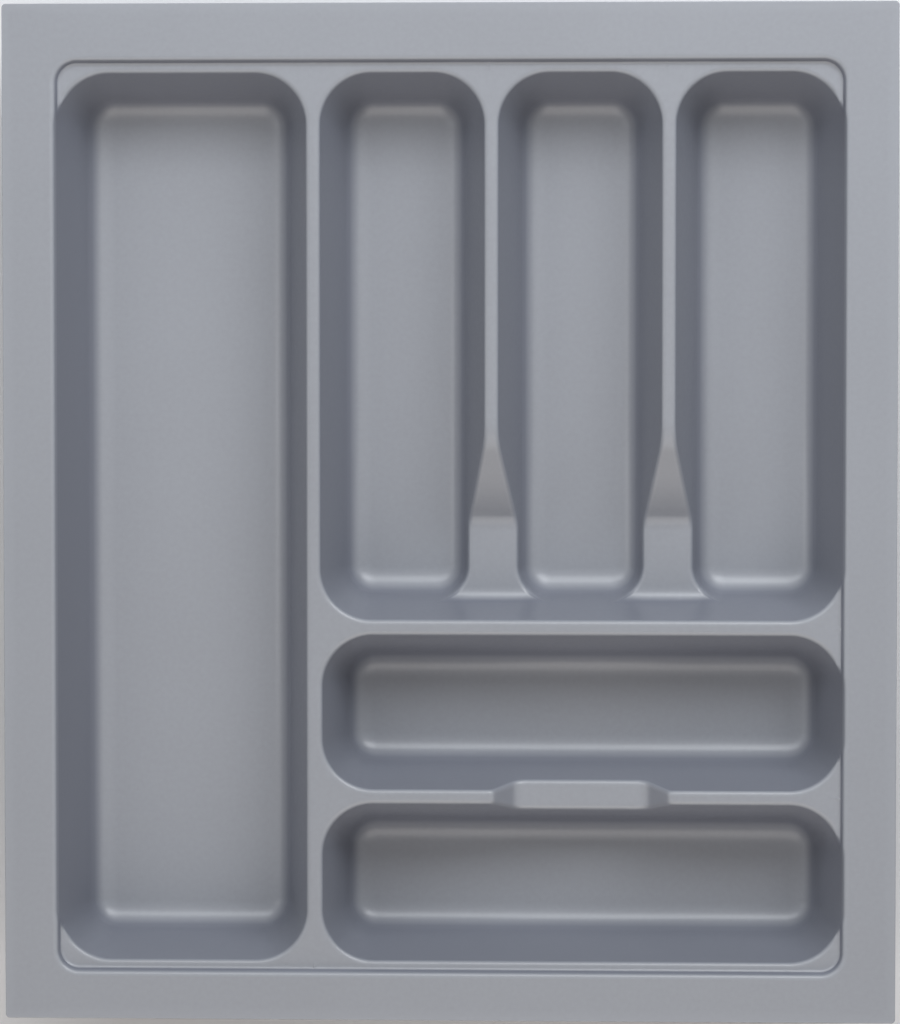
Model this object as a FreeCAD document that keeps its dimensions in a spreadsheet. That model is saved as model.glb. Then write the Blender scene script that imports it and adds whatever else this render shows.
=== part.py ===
import FreeCAD, Part
import math
import os

import Sketcher
from FreeCAD import Placement, Rotation, Vector

# Cutlery tray for a kitchen drawer, vacuum-formed from one plastic sheet.
# The sheet is a flat trim rim, a step down to a deck, and six compartments that hang from the deck.
# The front ends of the three cutlery compartments, where the dividers dip, are pieces of their own.
# Origin under the middle of the tray, +X to its right, +Y to its back, +Z up, millimetres.

os.makedirs("parts", exist_ok=True)
doc = FreeCAD.newDocument("cutlery_tray")

# Driving dimensions
sizes = [
    ("tray_width", 430.0, "outer width of the rim"),
    ("tray_depth", 490.0, "outer depth of the rim, back to front"),
    ("tray_height", 50.0, "underside of the floors up to the top of the rim"),
    ("sheet", 2.0, "thickness of the formed sheet"),
    ("draft", 14.5, "lean of every formed wall, degrees"),
    ("trim_corner", 2.0, "radius of the rim's outer corners"),
    ("rim_side", 24.75, "width of the rim at the left and right"),
    ("rim_back", 26.4, "width of the rim at the back"),
    ("rim_front", 22.7, "width of the rim at the front"),
    ("rim_roll", 2.0, "radius where the rim turns down into the step"),
    ("step_drop", 4.0, "rim down to the deck"),
    ("step_corner", 10.0, "corner radius of the step, at the rim"),
    ("side_ledge", 2.0, "deck between the step and the mouths, left and right"),
    ("end_strip", 6.0, "deck between the step and the mouths, back and front"),
    ("divider", 6.3, "deck between two mouths"),
    ("long_width", 118.5, "mouth width of the long compartment"),
    ("cross_depth", 75.2, "mouth depth of a cross compartment, back to front"),
    ("mouth_corner", 25.0, "corner radius of every mouth"),
    ("mouth_roll", 1.8, "radius where the deck turns down into a mouth"),
    ("floor_round", 10.0, "radius between a wall and its floor"),
    ("scoop_reach", 89.5, "front edge of the cutlery mouths back to the top of the ramps"),
    ("scoop_ramp", 46.6, "level length of a ramp"),
    ("scoop_drop", 29.0, "deck down to the low end of the cutlery dividers"),
    ("ramp_round", 20.0, "radius at the foot of a ramp"),
    ("scoop_round", 8.0, "radius where the low end meets the front wall"),
    ("scoop_lead", 6.0, "plain divider behind a ramp, as part of the scooped end"),
    ("notch_width", 84.0, "finger notch in the cross divider, at the deck"),
    ("notch_floor", 63.0, "finger notch at its floor, corner to corner"),
    ("notch_drop", 12.4, "deck down to the floor of the finger notch"),
    ("notch_round", 12.0, "radius at the corners of the notch's floor"),
    ("overrun", 5.0, "how far a cut runs past the sheet"),
]
dims = doc.addObject("Spreadsheet::Sheet", "dims")
for row, (alias, size, note) in enumerate(sizes, 1):
    dims.set(f"A{row}", alias)
    dims.set(f"B{row}", str(size))
    dims.set(f"C{row}", note)
    dims.setAlias(f"B{row}", alias)
doc.recompute()

# Sizes and places that follow from the driving ones
derived = [
    ("wall_slope", "tan(dims.draft * 1 deg)"),
    ("wall_angle", "90 - dims.draft"),
    ("under_run", "dims.sheet * tan(wall_angle / 2 * 1 deg)"),
    ("wall_run", "dims.sheet / cos(dims.draft * 1 deg)"),
    ("deck", "dims.tray_height - dims.step_drop"),
    ("step_width", "dims.tray_width - 2 * dims.rim_side"),
    ("step_depth", "dims.tray_depth - dims.rim_back - dims.rim_front"),
    ("step_y", "(dims.rim_front - dims.rim_back) / 2"),
    ("step_run", "dims.step_drop * wall_slope"),
    ("deck_width", "step_width - 2 * step_run"),
    ("deck_depth", "step_depth - 2 * step_run"),
    ("deck_corner", "dims.step_corner - step_run"),
    ("mouths_width", "deck_width - 2 * dims.side_ledge"),
    ("mouths_depth", "deck_depth - 2 * dims.end_strip"),
    ("cross_width", "mouths_width - dims.long_width - dims.divider"),
    ("cutlery_width", "(cross_width - 2 * dims.divider) / 3"),
    ("cutlery_depth", "mouths_depth - 2 * (dims.cross_depth + dims.divider)"),
    ("long_x", "(dims.long_width - mouths_width) / 2"),
    ("cross_x", "(mouths_width - cross_width) / 2"),
    ("cutlery_pitch", "cutlery_width + dims.divider"),
    ("cutlery_y", "step_y + (mouths_depth - cutlery_depth) / 2"),
    ("front_cross_y", "step_y + (dims.cross_depth - mouths_depth) / 2"),
    ("back_cross_y", "front_cross_y + dims.cross_depth + dims.divider"),
    ("ramp_angle", "atan(dims.scoop_drop / dims.scoop_ramp) / 1 deg"),
    ("ramp_top", "dims.scoop_reach - cutlery_depth / 2"),
    ("scoop_line", "ramp_top + dims.scoop_lead"),
    ("notch_angle", "atan(2 * dims.notch_drop / (dims.notch_width - dims.notch_floor)) / 1 deg"),
]
layout = doc.addObject("App::VarSet", "layout")
for name, formula in derived:
    layout.addProperty("App::PropertyFloat", name, "Layout")
    layout.setExpression(name, formula)
    doc.recompute()

near = 1e-4


def measure(formula):
    found = layout.evalExpression(formula)
    return getattr(found, "Value", found)


def constrain(sketch, name, formula, kind, *where):
    """A dimension of a sketch that follows a formula."""
    turn = math.radians(1) if kind == "Angle" else 1
    index = sketch.addConstraint(Sketcher.Constraint(kind, *where, measure(formula) * turn))
    sketch.renameConstraint(index, name)
    sketch.setExpression("Constraints." + name, formula)


def new_sketch(body, name, role, height="0", shift="0"):
    """A sketch on one of the body's own planes, raised by height and moved along Y by shift."""
    sketch = body.newObject("Sketcher::SketchObject", name)
    plane = [feature for feature in body.Origin.OriginFeatures if feature.Role == role][0]
    sketch.AttachmentSupport = [(plane, "")]
    sketch.MapMode = "FlatFace"
    sketch.AttachmentOffset = Placement()
    sketch.setExpression("AttachmentOffset.Base.y", shift)
    sketch.setExpression("AttachmentOffset.Base.z", height)
    return sketch


def rounded_rectangle(body, name, width, depth, radius, height, shift="0"):
    """A level outline about the body's centre with four round corners."""
    sketch = new_sketch(body, name, "XY_Plane", height, shift)
    r = measure(radius)
    x = measure(width) / 2 - r
    y = measure(depth) / 2 - r
    turns = [-math.pi / 2, 0, math.pi / 2, math.pi]
    centres = [Vector(x, -y), Vector(x, y), Vector(-x, y), Vector(-x, -y)]
    arcs = [Part.ArcOfCircle(Part.Circle(centre, Vector(0, 0, 1), r), turn, turn + math.pi / 2)
            for centre, turn in zip(centres, turns)]
    sides = [Part.LineSegment(arcs[i].EndPoint, arcs[(i + 1) % 4].StartPoint) for i in range(4)]
    sketch.addGeometry(arcs + sides, False)
    for i in range(4):
        sketch.addConstraint(Sketcher.Constraint("Tangent", i, 2, i + 4, 1))
        sketch.addConstraint(Sketcher.Constraint("Tangent", i + 4, 2, (i + 1) % 4, 1))
        sketch.addConstraint(Sketcher.Constraint("Vertical" if i % 2 == 0 else "Horizontal", i + 4))
    for i in range(3):
        sketch.addConstraint(Sketcher.Constraint("Equal", i, i + 1))
    sketch.addConstraint(Sketcher.Constraint("Symmetric", 0, 3, 2, 3, -1, 1))
    constrain(sketch, "radius", radius, "Radius", 0)
    constrain(sketch, "width", width, "DistanceX", 6, 1, 4, 1)
    constrain(sketch, "depth", depth, "DistanceY", 7, 2, 5, 1)
    return sketch


def bay_rectangle(body, name, sides, height):
    """A level rectangle whose four sides lie at their own distances from the body's centre."""
    sketch = new_sketch(body, name, "XY_Plane", height)
    left, right, back, front = [measure(sides[side]) for side in ("left", "right", "back", "front")]
    corners = [Vector(-left, -front), Vector(right, -front), Vector(right, back), Vector(-left, back)]
    sketch.addGeometry([Part.LineSegment(corners[i], corners[(i + 1) % 4]) for i in range(4)], False)
    for i in range(4):
        sketch.addConstraint(Sketcher.Constraint("Coincident", i, 2, (i + 1) % 4, 1))
        sketch.addConstraint(Sketcher.Constraint("Horizontal" if i % 2 == 0 else "Vertical", i))
    constrain(sketch, "left", sides["left"], "DistanceX", 0, 1, -1, 1)
    constrain(sketch, "front", sides["front"], "DistanceY", 0, 1, -1, 1)
    constrain(sketch, "right", sides["right"], "DistanceX", -1, 1, 2, 1)
    constrain(sketch, "back", sides["back"], "DistanceY", -1, 1, 2, 1)
    return sketch


def dip_outline(body, name, dip, under, lift):
    """An upright outline with a sloping side at each end and a round at each foot.

    The outline of the cut has under 0. The sheet's underside is the same outline, lower by the sheet,
    with each top edge further out by the sheet times the tangent of half its slope.
    """
    sketch = new_sketch(body, name, dip["plane"])
    top = f"layout.deck - {under} + {lift}"
    bottom = f"layout.deck - {under} - {dip['drop']}"
    reach = "({under} * tan({slope} / 2 * 1 deg) + {lift} / tan({slope} * 1 deg))"
    low_edge = dip["low_edge"] + " - " + reach.format(under=under, lift=lift, slope=dip["low_slope"])
    high_edge = dip["high_edge"] + " + " + reach.format(under=under, lift=lift, slope=dip["high_slope"])
    low_round = f"{dip['low_round']} + {under}"
    high_round = f"{dip['high_round']} + {under}"

    # Each foot's arc touches its side and the floor, so it starts and ends one tangent length away
    low = math.radians(measure(dip["low_slope"]))
    high = math.radians(measure(dip["high_slope"]))
    rise = measure(top) - measure(bottom)
    z = measure(bottom)
    low_top = Vector(measure(low_edge), measure(top))
    high_top = Vector(measure(high_edge), measure(top))
    low_foot = Vector(low_top.x + rise / math.tan(low), z)
    high_foot = Vector(high_top.x - rise / math.tan(high), z)
    low_r = measure(low_round)
    high_r = measure(high_round)
    low_tangent = low_r * math.tan(low / 2)
    high_tangent = high_r * math.tan(high / 2)
    up = Vector(0, 0, 1)
    low_centre = Vector(low_foot.x + low_tangent, z + low_r)
    high_centre = Vector(high_foot.x - high_tangent, z + high_r)
    quarter = math.pi / 2
    low_arc = Part.ArcOfCircle(Part.Circle(low_centre, up, low_r), -quarter - low, -quarter)
    high_arc = Part.ArcOfCircle(Part.Circle(high_centre, up, high_r), -quarter, -quarter + high)
    sketch.addGeometry([
        Part.LineSegment(low_top, low_arc.StartPoint),
        low_arc,
        Part.LineSegment(low_arc.EndPoint, high_arc.StartPoint),
        high_arc,
        Part.LineSegment(high_arc.EndPoint, high_top),
        Part.LineSegment(high_top, low_top),
    ], False)
    for i in range(4):
        sketch.addConstraint(Sketcher.Constraint("Tangent", i, 2, i + 1, 1))
    sketch.addConstraint(Sketcher.Constraint("Coincident", 4, 2, 5, 1))
    sketch.addConstraint(Sketcher.Constraint("Coincident", 5, 2, 0, 1))
    sketch.addConstraint(Sketcher.Constraint("Horizontal", 2))
    constrain(sketch, "low_edge", low_edge, "DistanceX", -1, 1, 0, 1)
    constrain(sketch, "low_top", top, "DistanceY", -1, 1, 0, 1)
    constrain(sketch, "high_edge", high_edge, "DistanceX", -1, 1, 4, 2)
    constrain(sketch, "high_top", top, "DistanceY", -1, 1, 4, 2)
    constrain(sketch, "bottom", bottom, "DistanceY", -1, 1, 2, 1)
    constrain(sketch, "low_slope", "-1 * " + dip["low_slope"], "Angle", 0)
    constrain(sketch, "high_slope", dip["high_slope"], "Angle", 4)
    constrain(sketch, "low_round", low_round, "Radius", 1)
    constrain(sketch, "high_round", high_round, "Radius", 3)
    return sketch


def extrude(body, kind, name, sketch, length, taper="0", **options):
    """A pad or pocket of a sketch, whose length and taper follow formulas."""
    before = body.Shape.Volume if body.Tip else 0
    feature = body.newObject("PartDesign::" + kind, name)
    feature.Profile = sketch
    feature.setExpression("Length", length)
    feature.setExpression("TaperAngle", taper)
    for option, setting in options.items():
        setattr(feature, option, setting)
    doc.recompute()
    grows = kind == "Pad"
    if (body.Shape.Volume > before) != grows:
        raise RuntimeError(f"{body.Label}: {name} has no effect")
    return feature


def round_edges(body, name, radius, wanted):
    """A fillet on the edges of the body so far that a test on their boxes picks."""
    base = body.Tip
    edges = [f"Edge{i}" for i, edge in enumerate(base.Shape.Edges, 1) if wanted(edge)]
    fillet = body.newObject("PartDesign::Fillet", name)
    fillet.Base = (base, edges)
    fillet.setExpression("Radius", radius)
    doc.recompute()
    return fillet


def level_at(height):
    """A test for edges that lie level at a height."""
    z = measure(height)
    return lambda edge: abs(edge.BoundBox.ZMin - z) < near and abs(edge.BoundBox.ZMax - z) < near


def new_body(label, x="0", y="0"):
    body = doc.addObject("PartDesign::Body", label)
    body.Label = label
    body.Placement = Placement(Vector(measure(x), measure(y), 0), Rotation())
    body.setExpression("Placement.Base.x", x)
    body.setExpression("Placement.Base.y", y)
    doc.recompute()
    return body


# Trim rim: a flat border whose inner edge turns down through the step, to the edge of the deck
def trim_rim():
    body = new_body("trim_rim")
    height = "dims.tray_height"
    border = rounded_rectangle(body, "border", "dims.tray_width", "dims.tray_depth", "dims.trim_corner",
                               height)
    extrude(body, "Pad", "border_plate", border, "dims.sheet", Reversed=True)
    outside = rounded_rectangle(body, "step_outside", "layout.step_width + 2 * layout.wall_run",
                                "layout.step_depth + 2 * layout.wall_run",
                                "dims.step_corner + layout.wall_run", height, "layout.step_y")
    extrude(body, "Pad", "step_wall", outside, "dims.step_drop + dims.sheet", "-dims.draft", Reversed=True)
    inside = rounded_rectangle(body, "step_inside", "layout.step_width", "layout.step_depth",
                               "dims.step_corner", height, "layout.step_y")
    extrude(body, "Pocket", "step_recess", inside, "dims.step_drop", "-dims.draft")
    edge = rounded_rectangle(body, "deck_edge", "layout.deck_width", "layout.deck_depth",
                             "layout.deck_corner", "layout.deck", "layout.step_y")
    extrude(body, "Pocket", "deck_opening", edge, "dims.sheet + dims.overrun")
    at_top = level_at(height)
    half_width = measure("layout.step_width") / 2
    round_edges(body, "rim_roll", "dims.rim_roll",
                lambda e: at_top(e) and max(-e.BoundBox.XMin, e.BoundBox.XMax) < half_width + near)
    return body


# A compartment: a leaning cup under its share of the deck, with any dips in the dividers beside it.
# Where it is one end of a longer compartment, other_end moves one side of the block cut from it.
def compartment(label, x, y, width, depth, margins, tray_corners=(), dips=(), other_end=None):
    body = new_body(label, x, y)
    sides = {side: f"{width if side in ('left', 'right') else depth} / 2 + {margin}"
             for side, margin in margins.items()}
    share = bay_rectangle(body, "deck_share", sides, "layout.deck - dims.sheet")
    extrude(body, "Pad", "deck_plate", share, "dims.sheet")
    if tray_corners:
        spots = [(measure(sides["right" if right else "left"]) * (1 if right else -1),
                  measure(sides["back" if back else "front"]) * (1 if back else -1))
                 for right, back in tray_corners]

        def on_tray_corner(edge):
            box = edge.BoundBox
            return box.ZLength > near and any(
                abs(box.XMin - across) < near and abs(box.YMin - along) < near for across, along in spots)

        round_edges(body, "tray_corner", "layout.deck_corner", on_tray_corner)

    outside = rounded_rectangle(body, "cup_outside", f"{width} + 2 * layout.under_run",
                                f"{depth} + 2 * layout.under_run", "dims.mouth_corner + layout.under_run",
                                "layout.deck - dims.sheet")
    extrude(body, "Pad", "cup_wall", outside, "layout.deck - dims.sheet", "-dims.draft", Reversed=True)
    for dip in dips:
        under = dip_outline(body, dip["name"] + "_underside", dip, "dims.sheet", "dims.sheet / 2")
        extrude(body, "Pad", dip["name"] + "_sheet", under, sides[dip["side"]], Reversed=dip["backwards"])

    mouth = rounded_rectangle(body, "mouth", width, depth, "dims.mouth_corner", "layout.deck")
    extrude(body, "Pocket", "cavity", mouth, "layout.deck - dims.sheet", "-dims.draft")
    round_edges(body, "floor_round", "dims.floor_round", level_at("dims.sheet"))
    round_edges(body, "underside_round", "dims.floor_round + dims.sheet", level_at("0"))
    for dip in dips:
        cut = dip_outline(body, dip["name"] + "_outline", dip, "0", "dims.overrun")
        extrude(body, "Pocket", dip["name"] + "_cut", cut, sides[dip["side"]] + " + dims.overrun",
                Reversed=not dip["backwards"])

    at_deck = level_at("layout.deck")
    half_width = measure(width) / 2
    half_depth = measure(depth) / 2

    def on_mouth(edge):
        box = edge.BoundBox
        on_side = box.XLength < near and abs(abs(box.XMin) - half_width) < near
        on_end = box.YLength < near and abs(abs(box.YMin) - half_depth) < near
        round_corner = isinstance(edge.Curve, Part.Circle) and max(-box.XMin, box.XMax) < half_width + near
        return at_deck(edge) and (on_side or on_end or round_corner)

    round_edges(body, "mouth_roll", "dims.mouth_roll", on_mouth)
    if other_end:
        block = {side: reach + " + dims.overrun" for side, reach in sides.items()}
        block.update(other_end)
        rest = bay_rectangle(body, "other_end", block, "layout.deck + dims.overrun")
        extrude(body, "Pocket", "end_cut", rest, "dims.tray_height + dims.overrun")
    return body


half_divider = "dims.divider / 2"
scoop = {
    "plane": "YZ_Plane",
    "drop": "dims.scoop_drop",
    "low_edge": "-layout.cutlery_depth / 2",
    "low_slope": "layout.wall_angle",
    "low_round": "dims.scoop_round",
    "high_edge": "layout.ramp_top",
    "high_slope": "layout.ramp_angle",
    "high_round": "dims.ramp_round",
}
right_scoop = dict(scoop, name="right_scoop", side="right", backwards=False)
left_scoop = dict(scoop, name="left_scoop", side="left", backwards=True)
notch = {
    "plane": "XZ_Plane",
    "drop": "dims.notch_drop",
    "low_edge": "-dims.notch_width / 2",
    "low_slope": "layout.notch_angle",
    "low_round": "dims.notch_round",
    "high_edge": "dims.notch_width / 2",
    "high_slope": "layout.notch_angle",
    "high_round": "dims.notch_round",
}
front_notch = dict(notch, name="front_notch", side="front", backwards=False)
back_notch = dict(notch, name="back_notch", side="back", backwards=True)

pieces = [trim_rim()]
pieces.append(compartment(
    "long_compartment", "layout.long_x", "layout.step_y", "dims.long_width", "layout.mouths_depth",
    {"left": "dims.side_ledge", "right": half_divider, "back": "dims.end_strip", "front": "dims.end_strip"},
    tray_corners=[(False, True), (False, False)]))
cutlery_bays = [
    ("left", -1, half_divider, half_divider, [right_scoop], []),
    ("middle", 0, half_divider, half_divider, [left_scoop, right_scoop], []),
    ("right", 1, half_divider, "dims.side_ledge", [left_scoop], [(True, True)]),
]
for place, step, left, right, dips, corners in cutlery_bays:
    bay = (f"layout.cross_x + {step} * layout.cutlery_pitch", "layout.cutlery_y",
           "layout.cutlery_width", "layout.cutlery_depth",
           {"left": left, "right": right, "back": "dims.end_strip", "front": half_divider})
    pieces.append(compartment(f"{place}_cutlery_compartment", *bay, tray_corners=corners,
                              other_end={"back": "layout.scoop_line"}))
    pieces.append(compartment(f"{place}_scoop_end", *bay, dips=dips,
                              other_end={"front": "-1 * layout.scoop_line"}))
cross_bays = [
    ("back", half_divider, half_divider, [front_notch], []),
    ("front", half_divider, "dims.end_strip", [back_notch], [(True, False)]),
]
for place, back, front, dips, corners in cross_bays:
    pieces.append(compartment(
        f"{place}_cross_compartment", "layout.cross_x", f"layout.{place}_cross_y",
        "layout.cross_width", "dims.cross_depth",
        {"left": half_divider, "right": "dims.side_ledge", "back": back, "front": front}, corners, dips))

failed = [item.Name for item in doc.Objects if "Invalid" in item.State or "Error" in item.State]
failed += [piece.Label for piece in pieces if piece.Shape.isNull() or not piece.Shape.isValid()]
if failed:
    raise RuntimeError("not built: " + ", ".join(failed))
for piece in pieces:
    piece.Shape.exportStep(f"parts/{piece.Label}.step")
    print(piece.Label, len(piece.Shape.Solids), "solid,", round(piece.Shape.Volume), "mm3")
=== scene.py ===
import math

import bpy
import numpy as np
from mathutils import Matrix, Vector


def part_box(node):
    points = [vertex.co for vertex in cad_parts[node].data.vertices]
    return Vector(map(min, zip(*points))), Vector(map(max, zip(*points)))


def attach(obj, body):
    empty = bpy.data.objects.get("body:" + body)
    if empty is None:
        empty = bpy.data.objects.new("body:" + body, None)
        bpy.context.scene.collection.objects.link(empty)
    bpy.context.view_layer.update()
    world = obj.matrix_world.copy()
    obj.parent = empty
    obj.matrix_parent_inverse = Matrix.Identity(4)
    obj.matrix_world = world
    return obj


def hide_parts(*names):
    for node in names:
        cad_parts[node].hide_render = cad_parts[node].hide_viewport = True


# Cutlery tray for a drawer, vacuum-formed from one grey plastic sheet.
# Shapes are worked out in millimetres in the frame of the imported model, and go into the meshes in metres.

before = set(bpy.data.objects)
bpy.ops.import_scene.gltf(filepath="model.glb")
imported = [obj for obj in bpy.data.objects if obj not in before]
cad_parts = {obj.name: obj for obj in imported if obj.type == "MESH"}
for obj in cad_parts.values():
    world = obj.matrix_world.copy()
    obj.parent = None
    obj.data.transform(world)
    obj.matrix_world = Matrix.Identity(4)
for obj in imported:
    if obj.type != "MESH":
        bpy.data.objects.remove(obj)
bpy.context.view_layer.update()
toMetres, toMillimetres = 0.001, 1000
print("frame loaded:", len(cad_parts), "nodes")

formed = {                        # the sheet itself
    "thick": 2.0,
    "draft": 16.7,                # lean of every formed wall, degrees
    "rimTop": 50.0,
    "deck": 46.0,                 # top of the dividers
    "floorTop": 2.0,
    "mouthCorner": 25.0,
    "mouthRoll": 3.4,             # top edge of every wall
    "underRoll": 0.5,             # the same bend on the underside
    "floorRound": 14.0,
}
step = {                          # the step from the rim down to the deck, along its foot
    "centre": (0.0, -2.1),
    "half": (188.6, 218.75),
    "corner": 9.5,
    "rimRoll": 3.4,
    "underRoll": 0.8,
    "footRound": 2.5,
}
lean = math.tan(math.radians(formed["draft"]))
leanCos = math.cos(math.radians(formed["draft"]))
wallTurn = math.radians(90 - formed["draft"])
tangent = math.tan(wallTurn / 2)  # where a round of radius one leaves each of two faces
stepRun = (formed["rimTop"] - formed["deck"]) * lean
search = {                        # limits of the searches by halving
    "low": -20.0,                 # heights, from under the floor to over the rim
    "high": 70.0,
    "heightTurns": 46,
    "behind": 4.0,                # reaches, from behind the start to past the limit
    "past": 1.0,
    "reachTurns": 40,
}
columnCounts = {                  # columns round an outline
    "quarter": 24,                # round a quarter turn
    "side": 9,                    # along a plain side of a mouth
    "deckCorner": 15,             # more where the deck's own corner is round
    "cutCorner": 9,               # and where the rim's cut corner is
    "rimEnd": 14,                 # along the back and the front of the rim
}


# Rounded lesser of two distances: the lesser, less the square of their closeness over a width k
def softMin(a, b, k):
    close = np.maximum(k - np.abs(a - b), 0) / k
    return np.minimum(a, b) - close * close * k / 4


# Rounded greater of two distances, the same way
def softMax(a, b, k):
    return -softMin(-a, -b, k)


# Width k that gives about a radius where two faces meet at a turn: radius times one less the cosine
def blendWidth(radius, turn):
    return radius * (1 - math.cos(turn))


# How far a point lies inside a rounded rectangle, in plan
def insideOutline(x, y, centre, half, radius):
    qx = np.abs(x - centre[0]) - (half[0] - radius)
    qy = np.abs(y - centre[1]) - (half[1] - radius)
    out = np.hypot(np.maximum(qx, 0), np.maximum(qy, 0)) + np.minimum(np.maximum(qx, qy), 0)
    return radius - out


# Height at which a field that grows upwards reaches a level, by halving. The field takes place, then height
def solveHeight(field, level, *place):
    low = np.full(np.shape(place[-1]), search["low"])
    high = np.full(np.shape(place[-1]), search["high"])
    for _ in range(search["heightTurns"]):
        mid = (low + high) / 2
        air = field(*place, mid) > level
        high = np.where(air, mid, high)
        low = np.where(air, low, mid)
    return (low + high) / 2


# How far points go one way before they leave a rounded rectangle, by halving, at most as far as a limit
def solveReach(x, y, wayX, wayY, limit, centre, half, radius):
    start, end = np.full(x.shape, -search["behind"]), limit + search["past"]
    for _ in range(search["reachTurns"]):
        mid = (start + end) / 2
        inside = insideOutline(x + mid * wayX, y + mid * wayY, centre, half, radius) > 0
        start = np.where(inside, mid, start)
        end = np.where(inside, end, mid)
    return np.minimum(limit, start)


# Every field is the distance into the open air, less than zero inside the sheet.
# The step: air above the deck and inside the leaning wall, with a small round at its foot
def recessField(x, y, z):
    inset = insideOutline(x, y, step["centre"], step["half"], step["corner"])
    wall = (inset - (formed["deck"] - z) * lean) * leanCos
    return softMin(z - formed["deck"], wall, blendWidth(step["footRound"], wallTurn))


# A compartment: air above its floor and inside its leaning walls, with a wide round between them
def pocketField(bay, x, y, z):
    inset = insideOutline(x, y, bay["centre"], bay["half"], formed["mouthCorner"])
    wall = (inset - (formed["deck"] - z) * lean) * leanCos
    return softMin(wall, z - formed["floorTop"], blendWidth(formed["floorRound"], wallTurn))


scoop = {                         # the dip in the cutlery dividers, seen from the side
    "reach": 88.0,                # front edge of the mouths back to the top of the ramp
    "run": 41.5,
    "drop": 29.0,
    "rampRound": 14.0,
    "endRound": 8.0,
    "crestRound": 26.0,
}
scoop["turn"] = math.atan2(scoop["drop"], scoop["run"])


# The scoop: air above the low end, above the ramp and behind the leaning front wall
def scoopField(bay, x, y, z):
    front = bay["centre"][1] - bay["half"][1]
    wall = (y - front - (formed["deck"] - z) * lean) * leanCos
    low = z - (formed["deck"] - scoop["drop"])
    ramp = ((front + scoop["reach"] - y) * math.sin(scoop["turn"])
            + (z - formed["deck"]) * math.cos(scoop["turn"]))
    trough = softMin(wall, low, blendWidth(scoop["endRound"], wallTurn))
    return softMin(trough, ramp, blendWidth(scoop["rampRound"], scoop["turn"]))


# Blend at the scoop's crests: a mouth's own roll along the front wall, a wide round at the top of the ramp
def scoopCrest(bay, y):
    nearFront = y < bay["centre"][1] - bay["half"][1] + scoop["reach"] / 2
    return np.where(nearFront, blendWidth(formed["mouthRoll"], wallTurn),
                    blendWidth(scoop["crestRound"], scoop["turn"]))


notch = {                         # the finger notch in the cross divider, seen from the front
    "width": 85.6,
    "floor": 61.4,
    "drop": 12.4,
    "round": 9.0,
    "crestRound": 4.0,
}
notch["turn"] = math.atan2(2 * notch["drop"], notch["width"] - notch["floor"])


# The notch: air above its floor and above two slopes that face each other
def notchField(bay, x, y, z):
    away = notch["width"] / 2 - np.abs(x - bay["centre"][0])
    slope = away * math.sin(notch["turn"]) + (z - formed["deck"]) * math.cos(notch["turn"])
    low = z - (formed["deck"] - notch["drop"])
    return softMin(slope, low, blendWidth(notch["round"], notch["turn"]))


# Blend at the notch's crests, the same at both
def notchCrest(bay, y):
    return blendWidth(notch["crestRound"], notch["turn"])


noAir = -500.0                    # stands for a dip where there is none


# Top of the deck and its dips together, with a round at each crest
def ridgeField(bay, dipped, x, y, z):
    deck = recessField(x, y, z)
    if not bay["dip"]:
        return deck
    dip = np.where(dipped, bay["dip"](bay, x, y, z), noAir)
    return softMax(deck, dip, bay["crest"](bay, y))


mouthEdge = {
    "deckShare": 0.85,            # most of the deck beside a mouth that its roll may take
    "least": 0.05,                # smallest roll
}


# Blend for the roll of a mouth's edge, which gets smaller where the deck beside it runs out
def edgeWidth(bay, roll, x, y):
    deckWidth = (insideOutline(x, y, step["centre"], step["half"], step["corner"])
                 - insideOutline(x, y, bay["centre"], bay["half"], formed["mouthCorner"]))
    return blendWidth(np.clip(mouthEdge["deckShare"] * deckWidth, mouthEdge["least"], roll), wallTurn)


# A compartment with its share of the deck
def skinField(bay, dipped, roll, x, y, z):
    ridge = ridgeField(bay, dipped, x, y, z)
    return softMax(ridge, pocketField(bay, x, y, z), edgeWidth(bay, roll, x, y))


# The flat rim, the step and every mouth that reaches it
def rimField(rimRoll, mouthRoll, x, y, z):
    field = recessField(x, y, z)
    for bay in bays:
        field = softMax(field, pocketField(bay, x, y, z), edgeWidth(bay, mouthRoll, x, y))
    return softMax(field, z - formed["rimTop"], blendWidth(rimRoll, wallTurn))


sharpAngle = 40                   # degrees
wallShadeRange = {                     # painted shade on steep faces, darker the less their normal points up
    "starts": 0.88,
    "span": 0.34,                 # fully shaded at this much less
}


# Mesh with three marks: rolled edges and a painted highlight on the round by the floor on its points, and on
# the corners of its faces a painted shade, darker the steeper the face stands
def toMesh(name, points, faces, rolled, roundHighlight):
    mesh = bpy.data.meshes.new(name)
    mesh.from_pydata((points * toMetres).tolist(), [], faces)
    mesh.shade_smooth()
    mesh.set_sharp_from_angle(angle=math.radians(sharpAngle))
    mesh.validate()
    normal = np.empty(3 * len(mesh.loops), np.float32)
    mesh.corner_normals.foreach_get("vector", normal)
    # painted shade: a face's colour darkens the steeper it stands
    wallShade = np.clip((wallShadeRange["starts"] - np.abs(normal[2::3])) / wallShadeRange["span"], 0, 1)
    for label, values, domain in (("rolledEdge", rolled, "POINT"), ("floorRoundHighlight", roundHighlight, "POINT"),
                                  ("paintedWallShade", wallShade, "CORNER")):
        mark = mesh.attributes.new(label, "FLOAT", domain)
        mark.data.foreach_set("value", np.asarray(values, np.float32))
    piece = bpy.data.objects.new(name, mesh)
    bpy.context.collection.objects.link(piece)
    even = piece.modifiers.new("evenNormals", "WEIGHTED_NORMAL")
    even.keep_sharp = True
    print(name, len(mesh.vertices), "points")
    return piece


# Quads between neighbouring columns of a grid of point numbers, facing up when columns run anticlockwise
def gridQuads(numbers):
    quads = np.stack([numbers[:-1, :-1], numbers[:-1, 1:],
                      numbers[1:, 1:], numbers[1:, :-1]], axis=-1)
    return quads.reshape(-1, 4)


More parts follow.
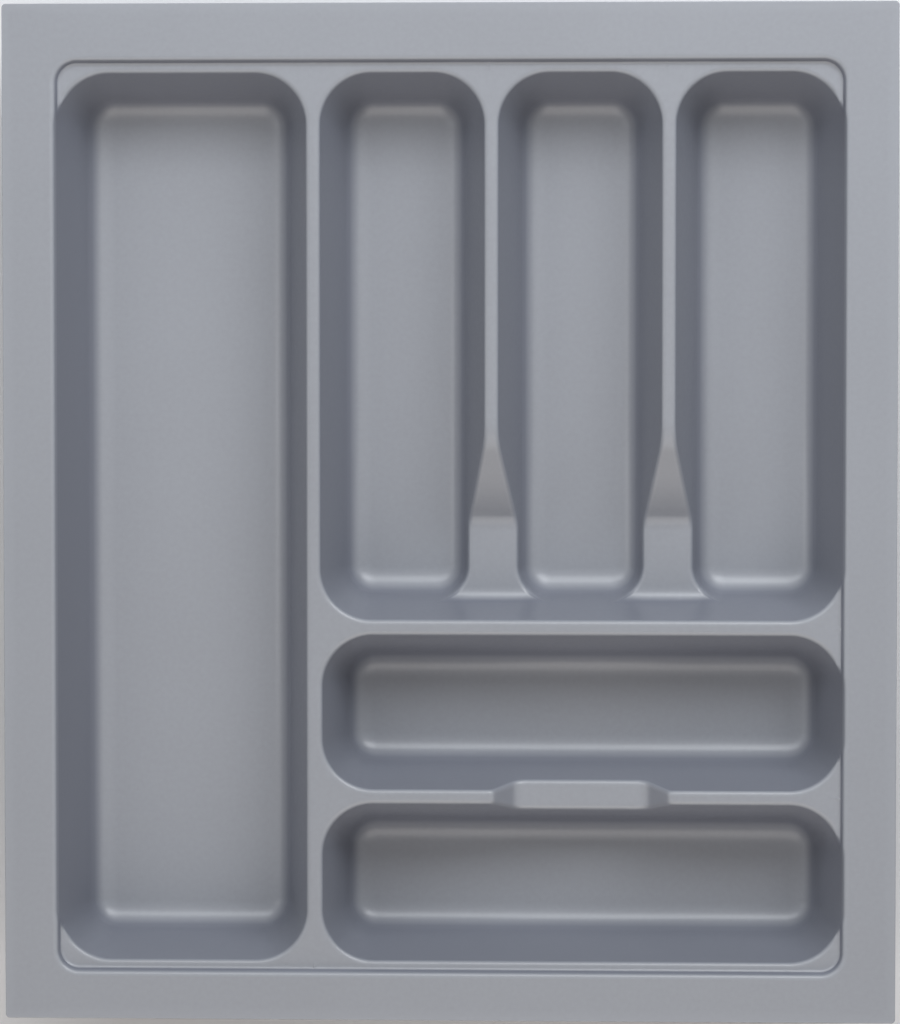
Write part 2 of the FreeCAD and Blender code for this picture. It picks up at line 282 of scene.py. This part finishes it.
# Angles round a corner: even ones, and more where they are asked for. Two corners run from end to side
def cornerSwing(turn, more):
    swing = np.unique(np.concatenate([np.linspace(0, 90, columnCounts["quarter"] + 1), *more]).round(5))
    return np.sort(90 - swing) if turn in (-90, 90) else swing


# Columns round a mouth, anticlockwise from the front left: a place on the outline at deck height, and the
# way it faces. A dipped front corner has its end column twice: a body for the front wall, and a twin for the
# low divider
def mouthColumns(bay):
    a, b = bay["half"]
    r = formed["mouthCorner"]
    left, right, back, front = bay["margins"]
    stretches = []
    sides = [("front", -90, b, a - r, "frontRight", (right, front)),
             ("right", 0, a, b - r, "backRight", (right, back)),
             ("back", 90, b, a - r, "backLeft", (left, back)),
             ("left", 180, a, b - r, "frontLeft", (left, front))]
    for name, turn, away, across, corner, spare in sides:
        along = np.array(bay["marks"].get(name, np.linspace(-1, 1, columnCounts["side"]) * across))
        along = np.unique(np.clip(along, -across, across).round(5))
        cos, sin = math.cos(math.radians(turn)), math.sin(math.radians(turn))
        stretches.append((name, away * cos - along * sin, away * sin + along * cos,
                          np.full(along.shape, float(turn))))

        more = []
        if corner not in bay["dipCorners"]:
            reachX, reachY = r + spare[0], r + spare[1]
            more.append([math.degrees(math.atan2(reachY, reachX))])
            if corner in bay["trayCorners"]:      # more columns where the deck's own corner is round
                bend = np.radians(np.linspace(0, 90, columnCounts["deckCorner"]))
                more.append(np.degrees(np.arctan2(reachY - step["corner"] * (1 - np.sin(bend)),
                                                  reachX - step["corner"] * (1 - np.cos(bend)))))
        swing = turn + cornerSwing(turn, more)
        signX, signY = (1 if turn in (-90, 0) else -1), (1 if turn in (0, 90) else -1)
        stretches.append((corner, signX * (a - r) + r * np.cos(np.radians(swing)),
                          signY * (b - r) + r * np.sin(np.radians(swing)), swing))

    # Each stretch leaves its last column to the next one, except beside a dipped corner
    twice = {"front": "frontRight" in bay["dipCorners"], "frontLeft": "frontLeft" in bay["dipCorners"]}
    ends = [None if twice.get(name) else -1 for name, *_ in stretches]
    kept = [(name, *(part[:end] for part in parts)) for (name, *parts), end in zip(stretches, ends)]
    x, y, turn = (np.concatenate([stretch[k] for stretch in kept]) for k in (1, 2, 3))
    on = np.concatenate([np.full(len(stretch[1]), stretch[0]) for stretch in kept])

    columns = {"x": x + bay["centre"][0], "y": y + bay["centre"][1],
               "nx": np.cos(np.radians(turn)), "ny": np.sin(np.radians(turn))}
    columns["dipCorner"] = np.isin(on, bay["dipCorners"])
    columns["dipped"] = np.isin(on, bay["dipSides"]) | columns["dipCorner"]
    columns["outward"] = np.where(on == "frontRight", 1.0, -1.0)
    columns["pairs"] = []
    columns["twin"] = np.zeros(len(x), bool)
    if twice["front"]:
        first = int(np.argmax(on == "frontRight"))
        columns["pairs"].append((first - 1, first))
    if twice["frontLeft"]:
        columns["pairs"].append((0, len(x) - 1))
    for _, twin in columns["pairs"]:
        columns["twin"][twin] = True
    columns["ring"] = np.cumsum(~columns["twin"]) - 1
    if twice["frontLeft"]:
        columns["ring"][-1] = 0
    return columns


# How far along one axis a point can go before it leaves a box, without end where it doesn't move that way
def roomWithin(start, way, low, high):
    still, endless = 1e-9, 1e9
    moving = np.abs(way) > still
    return np.where(moving, (np.where(way > 0, high, low) - start) / np.where(moving, way, 1.0), endless)


creaseRow = 3                     # the row of a skin that lies on the edge between wall and deck
skinRows = {                      # how the rows of a compartment's skin are laid out
    "crossing": (-8.0, 20.0),     # a dipped corner's edge is searched from outside the mouth to inside
    "overlap": 0.03,              # there the wall reaches this far under the ridge
    "probe": 0.05,                # a slope is read this far to each side
    "leastBend": 0.08,            # share of the roll that stays where the two faces are in line
    "roll": 8,                    # rows outside the crease
    "rollShare": 0.55,            # most of the deck that the roll may take
    "wear": 2.5,                  # rows over which the worn edge fades
    "foot": 7,                    # rows of the step's foot
    "footRun": 1.1,               # its width, in foot rounds
    "footShare": 0.4,             # most of the deck that it may take
    "bareRun": 2.15,              # without a deck, even rows start this far down the wall
    "topDeck": (0.3, 2.3),        # deck widths at which the even rows end and the full roll begins
    "underDeck": (-0.2, 1.0),     # the same underneath
    "floor": 13,                  # rows of the round between wall and floor
}


# One skin of a compartment, where the field reaches a level: zero on top, minus the thickness underneath.
# Point = mouth outline + distance along its normal, height = where the air begins there
def baySkin(bay, columns, level):
    deck = formed["deck"]
    px, py, nx, ny = (columns[key] for key in ("x", "y", "nx", "ny"))
    dipCorner, dipped = columns["dipCorner"], columns["dipped"]
    shift = level / leanCos
    roll = formed["mouthRoll"] if level == 0 else formed["underRoll"]

    # How far inside the mouth outline the wall meets the ridge
    inset = (deck - solveHeight(ridgeField, level, bay, dipped, px, py)) * lean + shift
    if dipCorner.any():
        cx, cy, ox, oy = px[dipCorner], py[dipCorner], nx[dipCorner], ny[dipCorner]
        low, high = (np.full(cx.shape, end) for end in skinRows["crossing"])
        for _ in range(search["reachTurns"]):
            mid = (low + high) / 2
            ridge = solveHeight(ridgeField, level, bay, True, cx - mid * ox, cy - mid * oy)
            above = deck - (mid - shift) / lean + skinRows["overlap"] > ridge
            low = np.where(above, mid, low)
            high = np.where(above, high, mid)
        inset[dipCorner] = (low + high) / 2
    creaseX, creaseY = px - inset * nx, py - inset * ny

    # The roll along the crease gets slighter as the two faces come into line
    probe = skinRows["probe"]
    rise = (solveHeight(ridgeField, level, bay, dipped, creaseX, creaseY + probe)
            - solveHeight(ridgeField, level, bay, dipped, creaseX, creaseY - probe))
    tilt = np.arctan(rise / (2 * probe))
    along = ny * leanCos * np.sin(tilt) + math.cos(wallTurn) * np.cos(tilt)
    bend = np.where(dipCorner, np.sqrt(np.maximum(1 - along ** 2, 0)) / math.sin(wallTurn), 1.0)
    bend = np.clip(bend, skinRows["leastBend"], 1.0)

    # Outward from the crease: level with the divider on a dipped corner, and along the normal elsewhere.
    # The deck ends at the compartment's own box, or at the tray's round corners where they come first
    outX = np.where(dipCorner, columns["outward"], nx)
    outY = np.where(dipCorner, 0.0, ny)
    reach = np.minimum(roomWithin(creaseX, outX, bay["low"][0], bay["high"][0]),
                       roomWithin(creaseY, outY, bay["low"][1], bay["high"][1]))
    reach = solveReach(creaseX, creaseY, outX, outY, reach, step["centre"], step["half"], step["corner"])

    # Rows of the roll, the flat and the foot of the step. Where there is no flat, even rows down the wall
    room = np.maximum(reach, 0)[:, None]
    crown = math.asin(tangent)
    sweep = np.concatenate([np.linspace(wallTurn, crown, creaseRow + 1),
                            np.linspace(crown, 0, skinRows["roll"])[1:]])
    most = skinRows["rollShare"] * room / tangent
    rolled = np.minimum(roll * bend[:, None], most) * (tangent - np.sin(sweep))
    rolled[:, creaseRow] = 0
    foot = np.minimum(skinRows["footRun"] * step["footRound"], skinRows["footShare"] * room)
    footRows = reach[:, None] - foot * np.linspace(1, 0, skinRows["foot"])
    out = np.concatenate([rolled, (rolled[:, -1:] + footRows[:, :1]) / 2, footRows], axis=1)
    spread = reach[:, None] - skinRows["bareRun"] * np.linspace(1, 0, out.shape[1])
    bare, full = skinRows["topDeck"] if level == 0 else skinRows["underDeck"]
    share = np.clip((reach[:, None] - bare) / (full - bare), 0, 1)
    share = share * share * (3 - 2 * share)
    out = spread + (out - spread) * share
    within, beyond = np.minimum(out, 0), np.maximum(out, 0)
    x = creaseX[:, None] + within * nx[:, None] + beyond * outX[:, None]
    y = creaseY[:, None] + within * ny[:, None] + beyond * outY[:, None]
    z = solveHeight(skinField, level, bay, dipped[:, None], roll * bend[:, None], x, y)
    outer = np.stack([x, y, z], axis=-1)
    crest = np.exp(-((np.arange(x.shape[1]) - creaseRow) / skinRows["wear"]) ** 2)
    outerRoll = crest * bend[:, None] * share

    # Rows of the round between wall and floor
    single = ~columns["twin"]
    down = deck - formed["floorTop"] - level
    sweep = np.linspace(0, wallTurn, skinRows["floor"])
    ring = down * lean + shift + formed["floorRound"] * (tangent - np.sin(sweep))
    x = px[single][:, None] - ring * nx[single][:, None]
    y = py[single][:, None] - ring * ny[single][:, None]
    inner = np.stack([x, y, solveHeight(pocketField, level, bay, x, y)], axis=-1)

    # The front wall beside each dipped corner, from the crease up over its own edge to the boundary
    ends = []
    for body, twin in columns["pairs"]:
        x, y = np.meshgrid(outer[twin, creaseRow + 1:, 0], outer[body, :, 1], indexing="ij")
        ends.append(np.stack([x, y, solveHeight(ridgeField, level, bay, True, x, y)], axis=-1))
    return inner, outer, ends, outerRoll


# A compartment as one closed shell: both skins, and the cut round its share of the deck
def makeBay(bay):
    columns = mouthColumns(bay)
    points, faces, rolled, roundHighlight, cuts = [], [], [], [], []
    total = 0
    for level in (0.0, -formed["thick"]):
        inner, outer, ends, outerRoll = baySkin(bay, columns, level)
        blocks = [inner, outer, *ends]
        marks = [np.zeros(inner.shape[:2]), outerRoll]
        marks += [np.broadcast_to(outerRoll[body], end.shape[:2])
                  for (body, _), end in zip(columns["pairs"], ends)]
        numbers = []
        for block in blocks:
            numbers.append(total + np.arange(block[..., 0].size).reshape(block.shape[:2]))
            total += numbers[-1].size
        innerId, outerId, *endIds = numbers
        if level == 0:
            bay["edge"] = outer[:, -1, :2]

        # Wall, roll and deck, column to column; a column and its twin aren't joined
        sheet = np.concatenate([innerId[columns["ring"], -1:], outerId], axis=1)
        following = np.roll(sheet, -1, axis=0)
        quads = np.stack([sheet[:, :-1], sheet[:, 1:], following[:, 1:], following[:, :-1]], axis=-1)
        kept = np.ones(quads.shape[:2], bool)
        cut = [outerId[:, -1]]
        patches, skin = [innerId[:, 0]], [gridQuads(np.concatenate([innerId, innerId[:1]]))]
        for (body, twin), endId in zip(columns["pairs"], endIds):
            grid = np.concatenate([outerId[body][None], endId])
            grid = np.concatenate([outerId[twin, creaseRow:, None], grid], axis=1)
            lower = outerId[twin, :creaseRow + 1]
            if twin == body + 1:
                kept[body] = False
                kept[body - 1, 0] = False
                patches.append(np.concatenate([quads[body - 1, 0, :3], lower[::-1], quads[body - 1, 0, 3:]]))
                skin.append(gridQuads(grid))
                cut = [outerId[:twin, -1], grid[1:, -1], grid[-1, -2:0:-1], outerId[twin:, -1]]
            else:
                kept[twin] = False
                kept[body, 0] = False
                patches.append(np.concatenate([quads[body, 0, :1], lower, quads[body, 0, 1:]]))
                skin.append(gridQuads(grid[::-1]))
                cut += [grid[-1, 1:], grid[-2:0:-1, -1]]
        skin = np.concatenate([*skin, quads[kept]])
        facing = 1 if level == 0 else -1
        faces += skin[:, ::facing].tolist() + [patch[::facing].tolist() for patch in patches]
        points += [block.reshape(-1, 3) for block in blocks]
        rolled += [mark.reshape(-1) for mark in marks]
        # painted highlight along each round by the floor, strongest halfway round
        roundHighlightMark = np.broadcast_to(np.sin(np.linspace(0, math.pi, inner.shape[1])), inner.shape[:2])
        roundHighlight += [roundHighlightMark.reshape(-1), *[np.zeros(mark.size) for mark in marks[1:]]]
        cuts.append(np.concatenate(cut))
    top, under = cuts
    faces += np.stack([under, np.roll(under, -1), np.roll(top, -1), top], axis=-1).tolist()
    piece = toMesh(bay["piece"], np.concatenate(points), faces,
                   np.concatenate(rolled), np.concatenate(roundHighlight))
    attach(piece, "root")
    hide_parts(*bay["nodes"])
    return piece


# Places of the columns along a dipped side, from its middle, close together where the dip turns.
# Each span is its start, its end and the number of columns
def closeMarks(*spans):
    return np.unique(np.concatenate([np.linspace(*span) for span in spans]))


scoopMarks = closeMarks((-106.9, -95, 4), (-95, -82, 14), (-82, -72, 5), (-72, -50, 12),
                        (-50, -32, 16), (-32, 106.9, 8))
notchMarks = closeMarks((-99.8, -48, 5), (-48, -37, 14), (-37, -24, 16), (-24, 24, 5),
                        (24, 37, 16), (37, 48, 14), (48, 99.8, 5))
deckBeside = {                    # deck beside a mouth, out to the end of its compartment's share
    "divider": 3.15,              # half a plain divider
    "near": 2.55,                 # left half of a cutlery divider
    "far": 3.75,                  # right half of it
    "post": 4.0,                  # left of the cross compartments
    "back": 4.6,
    "front": 3.9,
    "shelf": 3.85,                # in front of the cutlery compartments
    "heel": 3.45,                 # behind the front cross compartment
    "side": -0.5,                 # none: at the tray's sides the walls start straight from the rim
}
plain = {"dip": None, "crest": None, "dipSides": [], "dipCorners": [], "trayCorners": [], "marks": {}}
bays = [                          # margins are left, right, back and front
    dict(plain, piece="longWell", nodes=["long_compartment"],
         margins=("side", "divider", "back", "front"), trayCorners=["backLeft", "frontLeft"]),
    dict(plain, piece="leftCutleryWell", nodes=["left_cutlery_compartment", "left_scoop_end"],
         margins=("divider", "near", "back", "shelf"), dip=scoopField, crest=scoopCrest,
         dipSides=["right"], dipCorners=["frontRight"], marks={"right": scoopMarks}),
    dict(plain, piece="middleCutleryWell", nodes=["middle_cutlery_compartment", "middle_scoop_end"],
         margins=("far", "near", "back", "shelf"), dip=scoopField, crest=scoopCrest,
         dipSides=["left", "right"], dipCorners=["frontLeft", "frontRight"],
         marks={"right": scoopMarks, "left": -scoopMarks}),
    dict(plain, piece="rightCutleryWell", nodes=["right_cutlery_compartment", "right_scoop_end"],
         margins=("far", "side", "back", "shelf"), dip=scoopField, crest=scoopCrest,
         dipSides=["left"], dipCorners=["frontLeft"], trayCorners=["backRight"],
         marks={"left": -scoopMarks}),
    dict(plain, piece="backCrossWell", nodes=["back_cross_compartment"],
         margins=("post", "side", "divider", "divider"), dip=notchField, crest=notchCrest,
         dipSides=["front"], marks={"front": notchMarks}),
    dict(plain, piece="frontCrossWell", nodes=["front_cross_compartment"],
         margins=("post", "side", "heel", "front"), dip=notchField, crest=notchCrest,
         dipSides=["back"], trayCorners=["frontRight"], marks={"back": -notchMarks}),
]
for bay in bays:
    bay["margins"] = [deckBeside[name] for name in bay["margins"]]
    left, right, back, front = bay["margins"]
    low = np.min([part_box(node)[0][:2] for node in bay["nodes"]], axis=0) * toMillimetres
    high = np.max([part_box(node)[1][:2] for node in bay["nodes"]], axis=0) * toMillimetres
    bay["low"] = np.maximum(low, np.subtract(step["centre"], step["half"]))
    bay["high"] = np.minimum(high, np.add(step["centre"], step["half"]))
    inward = np.array([left, front]), np.array([right, back])
    bay["centre"] = (bay["low"] + inward[0] + bay["high"] - inward[1]) / 2
    bay["half"] = (bay["high"] - inward[1] - bay["low"] - inward[0]) / 2
wells = [makeBay(bay) for bay in bays]
print("compartments made")


trim = {                          # the flat rim's outer edge, cut after forming
    "half": (215.0, 245.0),
    "corner": 2.0,
    "break": 0.35,                # worn corner of the cut, on top
    "under": 0.25,
    "edgeBand": 6.0,              # flat rows start this far in from the cut
    "farthest": 60.0,             # more than the rim is wide anywhere
    "wear": 0.8,                  # tone of the worn corner
    "footRise": (0, 0.15, 0.35, 0.7, 1.1, 1.5),   # rows of the step's foot, above the deck
    "roll": 13,                   # rows of the roll
    "breakRows": 5,
    "underRows": 4,
    "bendRows": 6,                # bend behind the roll, on the underside
    "behindDrop": (3.2, 4.2, 5.0, 5.6),           # rows down the back of the wall, below the rim's top
    "heelRows": 5,                # round under the foot
    "heelStart": 0.3,
}


# Columns round the step's outline at rim height, anticlockwise from the front right corner: place and turn.
# Down the sides they stand where the compartments' own columns end
def rimColumns():
    touching, apart = 0.001, 0.1
    wide, deep = np.array(step["half"]) - step["corner"]
    small = step["corner"] + stepRun
    edges = np.concatenate([bay["edge"] for bay in bays])
    xs, ys, turns = [], [], []
    for signX, signY, turn in ((1, -1, -90), (1, 1, 0), (-1, 1, 90), (-1, -1, 180)):
        cornerX, cornerY = step["centre"][0] + signX * wide, step["centre"][1] + signY * deep
        reachX, reachY = trim["half"][0] - signX * cornerX, trim["half"][1] - signY * cornerY
        bend = np.radians(np.linspace(0, 90, columnCounts["cutCorner"]))
        cutCorner = np.degrees(np.arctan2(reachY - trim["corner"] * (1 - np.sin(bend)),
                                          reachX - trim["corner"] * (1 - np.cos(bend))))
        swing = turn + cornerSwing(turn, [cutCorner])
        xs.append(cornerX + small * np.cos(np.radians(swing)))
        ys.append(cornerY + small * np.sin(np.radians(swing)))
        turns.append(swing)

        # The straight that follows the corner
        if turn in (-90, 90):
            outside = np.abs(edges[:, 0] - step["centre"][0] - signX * step["half"][0])
            along = (edges[outside < touching, 1] - ys[-1][-1]) * -signY
            along = np.unique(along[(along > apart) & (along < 2 * deep - apart)].round(2))
        else:
            along = np.linspace(0, 2 * wide, columnCounts["rimEnd"])[1:-1]
        facing = math.radians(turn + 90)
        xs.append(xs[-1][-1] - math.sin(facing) * along)
        ys.append(ys[-1][-1] + math.cos(facing) * along)
        turns.append(np.full(along.shape, turn + 90.0))
    return np.concatenate(xs), np.concatenate(ys), np.radians(np.concatenate(turns))


# The rim: a closed section carried round the step's outline.
# Point = outline + distance along its normal, height = where the air begins. The outer rows are measured back
# from the cut edge
def makeRim():
    x, y, turn = rimColumns()
    nx, ny = np.cos(turn), np.sin(turn)
    farthest = np.full(x.shape, trim["farthest"])
    reach = solveReach(x, y, nx, ny, farthest, (0.0, 0.0), trim["half"], trim["corner"])
    top, thick = formed["rimTop"], formed["thick"]

    # Top of the section: foot of the step, wall and roll
    sweep = np.linspace(wallTurn, 0, trim["roll"])
    footRows = lean * np.array(trim["footRise"]) - stepRun
    topRows = np.concatenate([footRows, step["rimRoll"] * (tangent - np.sin(sweep))])
    # Cut edge: flat, worn corner, straight, under corner, flat
    turnOut = np.radians(np.linspace(90, 0, trim["breakRows"]))
    turnIn = np.radians(np.linspace(0, -90, trim["underRows"]))
    edgeBack = np.concatenate([[trim["edgeBand"]], trim["break"] * (1 - np.cos(turnOut)),
                               trim["under"] * (1 - np.cos(turnIn)), [trim["edgeBand"]]])
    edgeHeight = np.concatenate([[top], top - trim["break"] * (1 - np.sin(turnOut)),
                                 top - thick + trim["under"] * (1 + np.sin(turnIn)), [top - thick]])
    # Underside: bend, outer face of the wall, and the round under the foot
    behind = np.linspace(0, wallTurn, trim["bendRows"])
    wallRun = thick / leanCos
    underRows = np.concatenate([wallRun - thick * lean + step["underRoll"] * (tangent - np.sin(behind)),
                                wallRun - lean * np.array(trim["behindDrop"]),
                                np.linspace(trim["heelStart"], -stepRun, trim["heelRows"])])

    flatRows = [np.broadcast_to(rows, (len(x), len(rows))) for rows in (topRows, underRows)]
    rows = np.concatenate([flatRows[0], reach[:, None] - edgeBack, flatRows[1]], axis=1)
    px, py = x[:, None] + rows * nx[:, None], y[:, None] + rows * ny[:, None]
    high, low = len(topRows), rows.shape[1] - len(underRows)
    pz = np.empty(rows.shape)
    pz[:, :high] = solveHeight(rimField, 0.0, step["rimRoll"], formed["mouthRoll"],
                               px[:, :high], py[:, :high])
    pz[:, high:low] = edgeHeight
    pz[:, low:] = solveHeight(rimField, -thick, step["underRoll"], formed["underRoll"],
                              px[:, low:], py[:, low:])

    numbers = np.arange(rows.size).reshape(rows.shape)
    numbers = np.concatenate([numbers, numbers[:1]])
    numbers = np.concatenate([numbers, numbers[:, :1]], axis=1)
    crest = np.zeros(rows.shape[1])
    crest[len(footRows):high] = np.sin(np.linspace(0, math.pi, len(sweep)))
    crest[high + 1:high + 1 + len(turnOut)] = trim["wear"]
    points = np.stack([px, py, pz], axis=-1).reshape(-1, 3)
    piece = toMesh("trimRim", points, gridQuads(numbers).tolist(),
                   np.broadcast_to(crest, rows.shape).reshape(-1), np.zeros(rows.size))
    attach(piece, "root")
    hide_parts("trim_rim")
    return piece


rim = makeRim()
print("rim made")

plastic = {
    "colour": (0.345, 0.358, 0.392),
    "deepColour": (0.325, 0.336, 0.368),
    "paintedShadeColour": (0.194, 0.205, 0.245),         # painted shade on steep walls, bluish as in their shade
    "roundHighlightColour": (0.430, 0.442, 0.470),          # painted highlight on the rounds by the floor
    "roundHighlightShare": 0.10,
    "wornColour": (0.40, 0.42, 0.46),             # edges, from handling
    "wornShare": 0.35,
    "ior": 1.5,
    "roughness": (0.25, 0.37),                    # across the specks
    "grains": {"Pebble": 1500.0, "Drift": 9.0, "Speck": 420.0},      # a metre
    "grainDetail": {"Pebble": 2.0, "Drift": 3.0, "Speck": 4.0},
    "driftShare": 0.5,                            # of the tone, the rest is specks
    "toneRange": (0.35, 0.65),                    # stretched to the whole range
    "grainDepth": 0.00006,
    "grainStrength": 0.25,
}


# Moulded grain from Object coordinates: a fine pebble for the bump, a slow drift and fine specks for the tone
def grainGroup():
    group = bpy.data.node_groups.new("mouldedGrain", "ShaderNodeTree")
    inputs, outputs = group.nodes.new("NodeGroupInput"), group.nodes.new("NodeGroupOutput")
    place = group.nodes.new("ShaderNodeTexCoord")
    for name, detail in plastic["grainDetail"].items():
        group.interface.new_socket(name + " Scale", in_out="INPUT", socket_type="NodeSocketFloat")
        group.interface.new_socket(name, in_out="OUTPUT", socket_type="NodeSocketFloat")
        noise = group.nodes.new("ShaderNodeTexNoise")
        noise.inputs["Detail"].default_value = detail
        group.links.new(place.outputs["Object"], noise.inputs["Vector"])
        group.links.new(inputs.outputs[name + " Scale"], noise.inputs["Scale"])
        group.links.new(noise.outputs["Fac"], outputs.inputs[name])
    return group


# Satin grey plastic: the tone drifts slowly, steep walls get painted shade, the rounds by the floor a painted
# highlight, and worn edges are paler
def trayPlastic(grain):
    material = bpy.data.materials.new("trayPlastic")
    material.use_nodes = True
    nodes, links = material.node_tree.nodes, material.node_tree.links
    shader = nodes["Principled BSDF"]
    shader.inputs["IOR"].default_value = plastic["ior"]
    detail = nodes.new("ShaderNodeGroup")
    detail.node_tree = grain
    for name, scale in plastic["grains"].items():
        detail.inputs[name + " Scale"].default_value = scale

    def scaled(source, share):
        node = nodes.new("ShaderNodeMath")
        node.operation = "MULTIPLY"
        node.inputs[1].default_value = share
        links.new(source, node.inputs[0])
        return node.outputs[0]

    def marked(name):
        node = nodes.new("ShaderNodeAttribute")
        node.attribute_name = name
        return node.outputs["Fac"]

    def mixed(below, above, share):
        node = nodes.new("ShaderNodeMix")
        node.data_type = "RGBA"
        if isinstance(below, tuple):
            node.inputs["A"].default_value = (*below, 1)
        else:
            links.new(below, node.inputs["A"])
        node.inputs["B"].default_value = (*above, 1)
        links.new(share, node.inputs["Factor"])
        return node.outputs["Result"]

    # Tone: drift and specks together, stretched to the whole range
    blotch = nodes.new("ShaderNodeMath")
    links.new(scaled(detail.outputs["Drift"], plastic["driftShare"]), blotch.inputs[0])
    links.new(scaled(detail.outputs["Speck"], 1 - plastic["driftShare"]), blotch.inputs[1])
    stretch = nodes.new("ShaderNodeMapRange")
    for socket, value in zip(("From Min", "From Max"), plastic["toneRange"]):
        stretch.inputs[socket].default_value = value
    links.new(blotch.outputs[0], stretch.inputs["Value"])
    colour = mixed(plastic["deepColour"], plastic["colour"], stretch.outputs["Result"])
    # painted shade on the steep walls
    colour = mixed(colour, plastic["paintedShadeColour"], marked("paintedWallShade"))
    # painted highlight on the rounds by the floor
    colour = mixed(colour, plastic["roundHighlightColour"], scaled(marked("floorRoundHighlight"), plastic["roundHighlightShare"]))
    colour = mixed(colour, plastic["wornColour"], scaled(marked("rolledEdge"), plastic["wornShare"]))
    links.new(colour, shader.inputs["Base Color"])

    satin = nodes.new("ShaderNodeMapRange")
    for socket, value in zip(("To Min", "To Max"), plastic["roughness"]):
        satin.inputs[socket].default_value = value
    links.new(detail.outputs["Speck"], satin.inputs["Value"])
    links.new(satin.outputs["Result"], shader.inputs["Roughness"])
    bump = nodes.new("ShaderNodeBump")
    bump.inputs["Strength"].default_value = plastic["grainStrength"]
    bump.inputs["Distance"].default_value = plastic["grainDepth"]
    links.new(detail.outputs["Pebble"], bump.inputs["Height"])
    links.new(bump.outputs["Normal"], shader.inputs["Normal"])
    return material


trayFinish = trayPlastic(grainGroup())
for piece in [*wells, rim]:
    piece.data.materials.append(trayFinish)
print("finish made")

studio = {
    "floor": 3.0,                 # half the floor's side
    "floorColour": (0.86, 0.86, 0.87),
    "floorRoughness": 0.9,
    "sky": 0.08,
    "skySeen": 1.0,               # plain white
    "lamps": {                    # place, size, power and colour; the front one is a little warmer
        "backLamp": ((0.0, 0.90, 1.07), (2.2, 0.6), 14.0, (0.97, 1.0, 1.03)),
        "cornerLamp": ((0.57, 0.98, 0.82), (0.85, 0.85), 7.2, (0.97, 1.0, 1.03)),
        "frontLamp": ((0.0, -1.13, 0.83), (1.5, 1.3), 9.3, (1.06, 1.0, 0.95)),
        "leftLamp": ((-1.10, 0.0, 0.89), (0.3, 0.3), 0.8, (1.0, 1.0, 1.0)),
    },
    "lampAim": (0.0, 0.0, 0.03),
    "eye": (0.085, 0.085, 2.05),
    "aim": (0.00075, 0.001, 0.05),
    "spread": 0.4326,             # width that the picture takes in at the rim
    "sensor": 36.0,
}

# Floor: a level square
side = studio["floor"]
mesh = bpy.data.meshes.new("studioFloor")
corners = [(-side, -side, 0), (side, -side, 0), (side, side, 0), (-side, side, 0)]
mesh.from_pydata(corners, [], [(0, 1, 2, 3)])
floor = bpy.data.objects.new("studioFloor", mesh)
bpy.context.collection.objects.link(floor)
paper = bpy.data.materials.new("palePaper")
paper.use_nodes = True
matte = paper.node_tree.nodes["Principled BSDF"]
matte.inputs["Base Color"].default_value = (*studio["floorColour"], 1)
matte.inputs["Roughness"].default_value = studio["floorRoughness"]
mesh.materials.append(paper)

# Sky: a weak even light from all round. The camera and reflections see plain white
world = bpy.data.worlds.new("studio")
bpy.context.scene.world = world
world.use_nodes = True
sky = world.node_tree
background = sky.nodes["Background"]
background.inputs["Color"].default_value = (1.0, 1.0, 1.0, 1.0)
rays = sky.nodes.new("ShaderNodeLightPath")
seen = rays.outputs["Is Camera Ray"]
for ray in ("Is Glossy Ray", "Is Transmission Ray"):
    either = sky.nodes.new("ShaderNodeMath")
    either.operation = "MAXIMUM"
    sky.links.new(seen, either.inputs[0])
    sky.links.new(rays.outputs[ray], either.inputs[1])
    seen = either.outputs[0]
strength = sky.nodes.new("ShaderNodeMix")
strength.inputs["A"].default_value = studio["sky"]
strength.inputs["B"].default_value = studio["skySeen"]
sky.links.new(seen, strength.inputs["Factor"])
sky.links.new(strength.outputs["Result"], background.inputs["Strength"])


# Stands at a place and looks at a point, with +Y up the picture
def lookAt(place, aim):
    away = np.subtract(place, aim)
    away = away / np.linalg.norm(away)
    right = np.cross((0.0, 1.0, 0.0), away)
    right = right / np.linalg.norm(right)
    matrix = np.eye(4)
    matrix[:3] = np.stack([right, np.cross(away, right), away, place], axis=1)
    return Matrix(matrix.tolist())


for name, (place, size, power, tint) in studio["lamps"].items():
    lamp = bpy.data.lights.new(name, "AREA")
    lamp.shape = "RECTANGLE"
    lamp.size, lamp.size_y = size
    lamp.energy = power
    lamp.color = tint
    softbox = bpy.data.objects.new(name, lamp)
    bpy.context.collection.objects.link(softbox)
    softbox.matrix_world = lookAt(place, studio["lampAim"])
    softbox.visible_camera = False
print("light set")

# Camera: almost straight down, the tray's back at the top of the picture
lens = bpy.data.cameras.new("photoCamera")
lens.sensor_fit = "HORIZONTAL"
lens.sensor_width = studio["sensor"]
lens.lens = lens.sensor_width * math.dist(studio["eye"], studio["aim"]) / studio["spread"]
camera = bpy.data.objects.new("photoCamera", lens)
bpy.context.collection.objects.link(camera)
camera.matrix_world = lookAt(studio["eye"], studio["aim"])
bpy.context.scene.camera = camera
bpy.context.scene.view_settings.view_transform = "Standard"

print("camera set")
